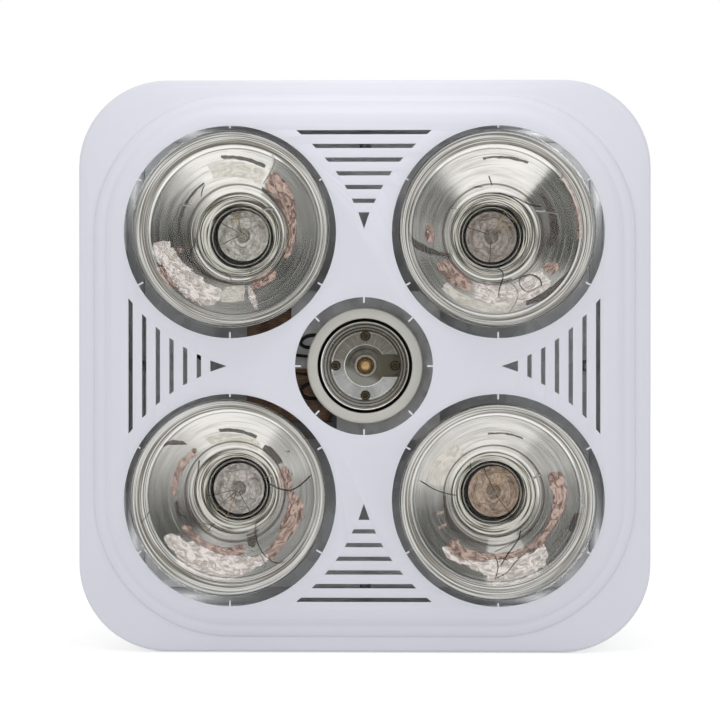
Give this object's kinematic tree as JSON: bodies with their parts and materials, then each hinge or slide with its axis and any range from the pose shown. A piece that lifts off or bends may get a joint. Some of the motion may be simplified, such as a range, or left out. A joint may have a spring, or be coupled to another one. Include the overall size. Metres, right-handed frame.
{
  "type": "ceiling heat, light and extractor unit",
  "caption": "Square ceiling unit with round heat lamps at its corners, a centre lampholder, slotted grilles, a blower above the panel and a side duct spigot.",
  "frame": {"origin": "centre of the ceiling cut-out, in the plane of the ceiling", "axes": "-Y out of the front panel into the room, +Y into the ceiling space, +Z towards the panel's top side and the duct spigot, +X to the right of someone who faces the panel"},
  "size_m": [0.37, 0.251, 0.3803],
  "materials": {
    "gloss_white": "gloss",
    "galvanised": "satin",
    "bright_steel": "satin",
    "electrical_steel": "matte",
    "winding": "varnished",
    "spring_steel": "satin",
    "porcelain": "glazed",
    "brass": "satin",
    "bronze": "satin",
    "silvered_glass": "gloss",
    "clear_glass": "gloss",
    "black_plastic": "matte",
    "grey_plastic": "matte",
    "rubber": "matte",
    "brown_sleeving": "matte",
    "black_sleeving": "matte"
  },
  "bodies": {
    "housing_body": {"bearing_front": "bronze", "bearing_rear": "bronze", "blower_scroll": "galvanised", "cable_gland": "black_plastic", "chassis_grommet": "rubber", "chassis_plate": "galvanised", "damper_pin": "bright_steel", "duct_spigot": "grey_plastic", "fascia_spring_1": "spring_steel", "fascia_spring_2": "spring_steel", "fascia_spring_3": "spring_steel", "fascia_spring_4": "spring_steel", "heat_lamp_1_bulb": "silvered_glass", "heat_lamp_1_cap": "bright_steel", "heat_lamp_1_holder": "porcelain", "heat_lamp_1_stem": "clear_glass", "heat_lamp_1_yoke": "galvanised", "heat_lamp_2_bulb": "silvered_glass", "heat_lamp_2_cap": "bright_steel", "heat_lamp_2_holder": "porcelain", "heat_lamp_2_stem": "clear_glass", "heat_lamp_2_yoke": "galvanised", "heat_lamp_3_bulb": "silvered_glass", "heat_lamp_3_cap": "bright_steel", "heat_lamp_3_holder": "porcelain", "heat_lamp_3_stem": "clear_glass", "heat_lamp_3_yoke": "galvanised", "heat_lamp_4_bulb": "silvered_glass", "heat_lamp_4_cap": "bright_steel", "heat_lamp_4_holder": "porcelain", "heat_lamp_4_stem": "clear_glass", "heat_lamp_4_yoke": "galvanised", "housing": "galvanised", "light_bracket": "galvanised", "light_centre_contact": "brass", "light_holder_body": "porcelain", "light_holder_insert": "bright_steel", "light_holder_screw_1": "electrical_steel", "light_holder_screw_2": "electrical_steel", "light_holder_screw_3": "electrical_steel", "light_holder_screw_4": "electrical_steel", "light_holder_shell": "bright_steel", "light_lead_live": "brown_sleeving", "light_lead_neutral": "black_sleeving", "motor_bracket_front": "electrical_steel", "motor_bracket_rear": "electrical_steel", "motor_coil": "winding", "motor_stator": "electrical_steel", "terminal_block": "porcelain", "terminal_cover": "galvanised", "thermal_cutout": "black_plastic"},
    "fascia_body": {"fascia": "gloss_white"},
    "impeller_body": {"impeller": "grey_plastic", "motor_shaft": "electrical_steel", "motor_rotor": "spring_steel"},
    "damper_left_body": {"damper_vane_left": "grey_plastic"},
    "damper_right_body": {"damper_vane_right": "grey_plastic"}
  },
  "joints": [
    {"name": "fascia_drop", "type": "slide", "parent": "housing_body", "child": "fascia_body", "axis": [0, -1, 0], "range_m": [0, 0.035], "stiffness_N_per_m": 1200, "springref_m": -0.02, "deforming": ["fascia_spring_1", "fascia_spring_2", "fascia_spring_3", "fascia_spring_4"]},
    {"name": "impeller_spin", "type": "hinge", "parent": "housing_body", "child": "impeller_body", "pos_m": [0, 0.14, 0], "axis": [0, 1, 0], "continuous": true},
    {"name": "damper_left_swing", "type": "hinge", "parent": "housing_body", "child": "damper_left_body", "pos_m": [0, 0.1483, 0.1723], "axis": [0, 1, 0], "range_deg": [0, 75], "stiffness_Nm_per_rad": 0.0004, "springref_deg": -28.65},
    {"name": "damper_right_swing", "type": "hinge", "parent": "housing_body", "child": "damper_right_body", "pos_m": [0, 0.1483, 0.1723], "axis": [0, -1, 0], "range_deg": [0, 75], "stiffness_Nm_per_rad": 0.0004, "springref_deg": -28.65}
  ]
}
